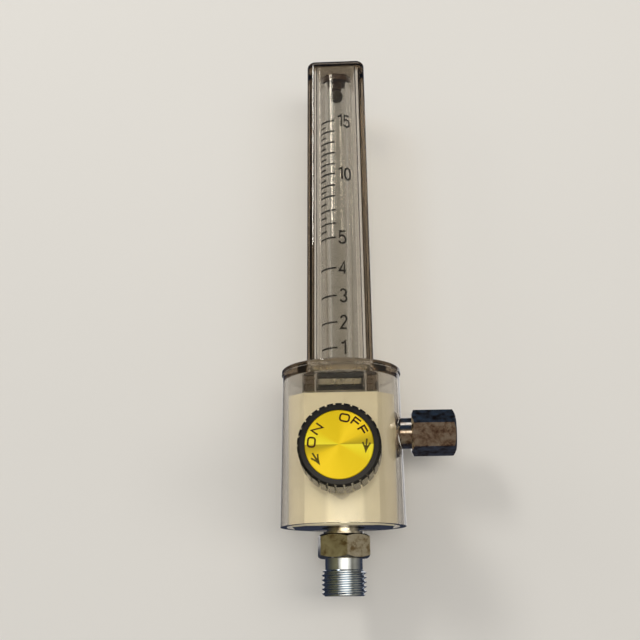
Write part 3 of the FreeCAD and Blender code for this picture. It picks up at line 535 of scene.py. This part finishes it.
def build_scale():
    def along(degrees):
        return math.radians(degrees) * FLOW_TUBE_R

    def mark(sheet, height, ends):
        start, end = along(ends[0]), along(ends[1])
        points = [(start + (end - start) * step / 16, height) for step in range(17)]
        ribbon(sheet, points, MARK_HALF, on_tube, -PRINT_RISE, PRINT_RISE)

    marks = Sheet()
    for value, height in MARKS.items():
        mark(marks, height, LONG_MARK)
        if 5 <= value < 15:
            mark(marks, (height + MARKS[value + 1]) / 2, SHORT_MARK)
    marks.build("scale_marks", scale_ink, "meter", "knob_plastic")
    numerals = Sheet()
    for value, digits in NUMERALS.items():
        base = MARKS[value] - DIGIT_H / 2
        for digit, left, width in digits:
            for line in digit_lines(digit, width):
                closed = line[0] == line[-1] or digit == "0"
                points = [(left + u, base + v) for u, v in (line[:-1] if closed else line)]
                ribbon(numerals, points, DIGIT_HALF, on_tube, -PRINT_RISE, PRINT_RISE, closed)
    numerals.build("scale_numerals", scale_ink, "meter", "knob_plastic")


def on_disc(u, v, rise):
    return u, DISC_FACE_Y - rise, KNOB_AXIS_Z + v


def rounded_box(width, height, radius, steps=6):
    points = []
    for x, z, start in ((1, 1, 0), (-1, 1, 90), (-1, -1, 180), (1, -1, 270)):
        centre = (x * (width / 2 - radius), z * (height / 2 - radius))
        points += arc(centre, (radius, radius), start, start + 90, steps)
    return points


# Disc letters: letter, radius and angle of its middle, width and height of its centre lines
DISC_LETTERS = [("O", 8.06, 77.3, 2.75, 2.1), ("F", 8.30, 51.7, 2.1, 2.1), ("F", 8.20, 29.5, 2.1, 2.1),
                ("O", 8.17, 174.9, 2.75, 2.1), ("N", 7.95, 144.2, 2.6, 2.3)]
LETTER_HALF = 0.26
LETTER_O_CORNER = 0.75
# Disc arrows: radius and angle of the middle, and the way the point faces
DISC_ARROWS = [(8.0, -4.6, (-0.105, -0.994)), (7.97, 212.7, (0.536, -0.843))]
ARROW_REACH = 2.2
ARROW_HEAD = 0.75
ARROW_SHAFT_HALF = 0.27
ARROW_BARB_HALF = 0.26


def build_dial():
    letters = Sheet()

    def stroke(points, place, closed=False):
        ribbon(letters, points, LETTER_HALF, place, -PRINT_RISE, PRINT_RISE, closed)

    for letter, radius, degrees, width, height in DISC_LETTERS:
        angle = math.radians(degrees)
        up = (math.cos(angle), math.sin(angle))
        right = (math.sin(angle), -math.cos(angle))

        def place(u, v, rise, up=up, right=right, radius=radius):
            return on_disc(radius * up[0] + u * right[0] + v * up[0],
                           radius * up[1] + u * right[1] + v * up[1], rise)

        w, h = width / 2, height / 2
        if letter == "O":
            stroke(rounded_box(width, height, LETTER_O_CORNER), place, True)
        elif letter == "F":
            stroke([(w, h), (-w, h), (-w, -h - LETTER_HALF)], place)
            stroke([(w, 0.0), (-w, 0.0)], place)
        else:
            stroke([(-w, -h), (-w, h), (w, -h), (w, h)], place)
    letters.build("dial_letters", disc_ink, "control", "knob_plastic")
    arrows = Sheet()
    for radius, degrees, (du, dv) in DISC_ARROWS:
        angle = math.radians(degrees)
        centre = (radius * math.cos(angle), radius * math.sin(angle))

        def place(u, v, rise, centre=centre, du=du, dv=dv):
            return on_disc(centre[0] + u * du - v * dv, centre[1] + u * dv + v * du, rise)

        head = [(ARROW_REACH, 0.0), (0.0, ARROW_HEAD), (0.0, -ARROW_HEAD)]
        prism(arrows, head, place, -PRINT_RISE, PRINT_RISE)
        shaft = [(-ARROW_REACH, 0.0), (0.2, 0.0)]
        ribbon(arrows, shaft, ARROW_SHAFT_HALF, place, -PRINT_RISE, PRINT_RISE)
        for side in (1, -1):
            barb = [(-1.1, 1.15 * side), (0.2, 0.45 * side)]
            ribbon(arrows, barb, ARROW_BARB_HALF, place, -PRINT_RISE, PRINT_RISE)
    arrows.build("dial_arrows", arrow_ink, "control", "knob_plastic")


build_outlet()
build_inlet()
build_scale()
build_dial()

# Room tones: the backdrop, what clear parts show overhead and in the paint behind them, and what
# shiny parts show: the window, the room below, above and at the sides by azimuth in degrees
PALE = (0.84, 0.83, 0.81)
OVERHEAD = (0.10, 0.095, 0.085)
WINDOW_TONE = (2.4, 2.2, 1.85)
FACET_TONE = (4.0, 3.7, 2.65)
ROOM_BELOW = (0.20, 0.155, 0.115)
ROOM_ABOVE = (0.025, 0.040, 0.070)
NAVY = (0.035, 0.042, 0.065)
ROOM_SIDES = [(-130, NAVY), (-85, (0.10, 0.09, 0.06)), (-44, (0.24, 0.21, 0.11)),
              (-27, (0.16, 0.14, 0.10)), (40, (0.18, 0.16, 0.12)), (72, (0.40, 0.36, 0.28)),
              (95, (0.22, 0.20, 0.17)), (130, NAVY)]
# A window across and up: middle, half width at full brightness and half width where it ends, as
# azimuth in radians and as the sine of the elevation
MIRROR_WINDOW = ((0.12, 0.20, 0.75), (0.0, 0.105, 0.145))
FACET_WINDOW = ((0.10, 0.55, 0.70), (0.09, 0.035, 0.065))
# Plain light from all sides
ROOM_LIGHT = (0.30, 0.30, 0.30)

# The floor that the meter lies on, upright here because the meter stands along Z
FLOOR_Y = 20.9
FLOOR_HALF = 1.5


def build_floor():
    mesh = bpy.data.meshes.new("floor")
    y = FLOOR_Y * MM
    mesh.from_pydata([(-FLOOR_HALF, y, -FLOOR_HALF), (FLOOR_HALF, y, -FLOOR_HALF),
                      (FLOOR_HALF, y, FLOOR_HALF), (-FLOOR_HALF, y, FLOOR_HALF)], [], [(0, 1, 2, 3)])
    floor = bpy.data.objects.new("floor", mesh)
    bpy.context.scene.collection.objects.link(floor)
    material, tree, shader = new_material("pale_floor", Roughness=0.9)
    shader.inputs["Specular IOR Level"].default_value = 0.1
    tone = ramp(tree, noise(tree, 3.0, 2.0), [(0.3, (0.80, 0.79, 0.77)), (0.7, (0.83, 0.82, 0.80))])
    tree.links.new(tone, shader.inputs["Base Color"])
    geometry = node(tree, "ShaderNodeNewGeometry")
    through = node(tree, "ShaderNodeBsdfTransparent")
    mix = node(tree, "ShaderNodeMixShader")
    tree.links.new(geometry.outputs["Backfacing"], mix.inputs["Fac"])
    tree.links.new(shader.outputs["BSDF"], mix.inputs[1])
    tree.links.new(through.outputs["BSDF"], mix.inputs[2])
    tree.links.new(mix.outputs["Shader"], tree.nodes["Material Output"].inputs["Surface"])
    mesh.materials.append(material)
    floor.visible_shadow = False
    floor.visible_diffuse = False
    floor.visible_glossy = False


def sheen(tree, parts):
    """What shiny surfaces show, a dark room with olive sides and one soft window, and the azimuth."""
    back = node(tree, "ShaderNodeMath", {1: -1.0}, operation="MULTIPLY")
    tree.links.new(parts.outputs["Y"], back.inputs[0])
    azimuth = node(tree, "ShaderNodeMath", operation="ARCTAN2")
    tree.links.new(parts.outputs["X"], azimuth.inputs[0])
    tree.links.new(back.outputs["Value"], azimuth.inputs[1])
    turn = spread(tree, azimuth.outputs["Value"], 0.0, 1.0, -math.pi, math.pi)
    room = ramp(tree, turn, [(0.5 + degrees / 360, tone) for degrees, tone in ROOM_SIDES])
    below = spread(tree, parts.outputs["Z"], 1.0, 0.0, -0.24, -0.10)
    ahead = spread(tree, back.outputs["Value"], 0.0, 1.0, 0.2, 0.6)
    low = node(tree, "ShaderNodeMath", operation="MULTIPLY")
    tree.links.new(below, low.inputs[0])
    tree.links.new(ahead, low.inputs[1])
    room = mixed(tree, low.outputs["Value"], room, ROOM_BELOW)
    room = mixed(tree, spread(tree, parts.outputs["Z"], 0.0, 1.0, 0.15, 0.45), room, ROOM_ABOVE)
    seen = window(tree, azimuth.outputs["Value"], parts, MIRROR_WINDOW)
    return mixed(tree, seen, room, WINDOW_TONE), azimuth.outputs["Value"]


def window(tree, azimuth, parts, span):
    """1 inside a soft-edged window in front of the meter and 0 outside it."""
    shares = []
    for source, (middle, full, none) in zip((azimuth, parts.outputs["Z"]), span):
        shift = node(tree, "ShaderNodeMath", {1: middle}, operation="SUBTRACT")
        size = node(tree, "ShaderNodeMath", operation="ABSOLUTE")
        tree.links.new(source, shift.inputs[0])
        tree.links.new(shift.outputs["Value"], size.inputs[0])
        shares.append(spread(tree, size.outputs["Value"], 1.0, 0.0, full, none))
    share = node(tree, "ShaderNodeMath", operation="MULTIPLY")
    tree.links.new(shares[0], share.inputs[0])
    tree.links.new(shares[1], share.inputs[1])
    return share.outputs["Value"]


def build_world():
    world = bpy.data.worlds.new("studio")
    world.use_nodes = True
    tree = world.node_tree
    tree.nodes.clear()
    path = node(tree, "ShaderNodeLightPath")
    place = node(tree, "ShaderNodeTexCoord")
    parts = node(tree, "ShaderNodeSeparateXYZ")
    tree.links.new(place.outputs["Generated"], parts.inputs["Vector"])
    overhead = spread(tree, parts.outputs["Z"], 0.0, 1.0, 0.0, 0.16)
    reflected, azimuth = sheen(tree, parts)
    ahead = window(tree, azimuth, parts, FACET_WINDOW)
    through = mixed(tree, ahead, ramp(tree, overhead, [(0.0, PALE), (1.0, OVERHEAD)]), FACET_TONE)
    colour = ROOM_LIGHT
    for kind, tone in (("Is Glossy Ray", reflected), ("Is Transmission Ray", through),
                       ("Is Camera Ray", PALE)):
        colour = mixed(tree, path.outputs[kind], colour, tone)
    light = node(tree, "ShaderNodeBackground")
    output = node(tree, "ShaderNodeOutputWorld")
    tree.links.new(colour, light.inputs["Color"])
    tree.links.new(light.outputs["Background"], output.inputs["Surface"])
    bpy.context.scene.world = world


# Lamps: azimuth from the front towards the inlet, elevation, distance in metres, size and power
LAMPS = [("front_panel", 20.0, 0.0, 1.0, (1.15, 0.35), 4.5, (1.0, 0.94, 0.84)),
         ("left_strip", -62.0, 20.0, 1.0, (0.24, 0.65), 0.7, (1.0, 0.96, 0.88)),
         ("left_lamp", -37.0, 31.5, 1.0, (0.18, 0.28), 2.2, (1.0, 0.97, 0.90)),
         ("top_panel", 0.0, 64.0, 1.1, (1.2, 0.45), 2.0, (1.0, 0.98, 0.95)),
         ("back_panel", 170.0, 20.0, 1.4, (1.4, 1.0), 3.0, (1.0, 0.98, 0.96))]
LAMP_TARGET = Vector((0.0, 0.0, 0.09))


def build_lamps():
    for name, azimuth, elevation, distance, size, power, colour in LAMPS:
        lamp = bpy.data.lights.new(name, "AREA")
        lamp.shape = "RECTANGLE"
        lamp.size, lamp.size_y = size
        lamp.energy = power
        lamp.color = colour
        holder = bpy.data.objects.new(name, lamp)
        a, e = math.radians(azimuth), math.radians(elevation)
        away = Vector((math.sin(a) * math.cos(e), -math.cos(a) * math.cos(e), math.sin(e)))
        holder.matrix_world = (Matrix.Translation(LAMP_TARGET + distance * away)
                               @ away.to_track_quat("Z", "Y").to_matrix().to_4x4())
        bpy.context.scene.collection.objects.link(holder)
        holder.visible_glossy = name not in ("front_panel", "left_strip")
        holder.visible_transmission = name == "left_lamp"


# Camera: the photograph's viewpoint, in millimetres and degrees
CAMERA_AT = (7.62, -305.2, -0.95)
CAMERA_YAW = 2.737
CAMERA_PITCH = 16.9
CAMERA_ROLL = -0.529
CAMERA_LENS = 51.78


def build_camera():
    yaw, pitch, roll = (math.radians(value) for value in (CAMERA_YAW, CAMERA_PITCH, CAMERA_ROLL))
    forward = Vector((-math.sin(yaw) * math.cos(pitch), math.cos(yaw) * math.cos(pitch), math.sin(pitch)))
    level = Vector((math.cos(yaw), math.sin(yaw), 0.0))
    upright = level.cross(forward)
    right = math.cos(roll) * level + math.sin(roll) * upright
    up = math.cos(roll) * upright - math.sin(roll) * level
    camera = bpy.data.cameras.new("camera")
    camera.lens = CAMERA_LENS
    camera.sensor_width = 36.0
    camera.clip_start = 0.01
    holder = bpy.data.objects.new("camera", camera)
    turn = Matrix((right, up, -forward)).transposed().to_4x4()
    holder.matrix_world = Matrix.Translation(MM * Vector(CAMERA_AT)) @ turn
    bpy.context.scene.collection.objects.link(holder)
    bpy.context.scene.camera = holder


def set_scene():
    scene = bpy.context.scene
    scene.view_settings.view_transform = "Standard"
    scene.cycles.max_bounces = 20
    scene.cycles.transmission_bounces = 18
    scene.cycles.transparent_max_bounces = 20
    scene.cycles.glossy_bounces = 8
    scene.cycles.diffuse_bounces = 4


build_floor()
build_world()
build_lamps()
build_camera()
set_scene()
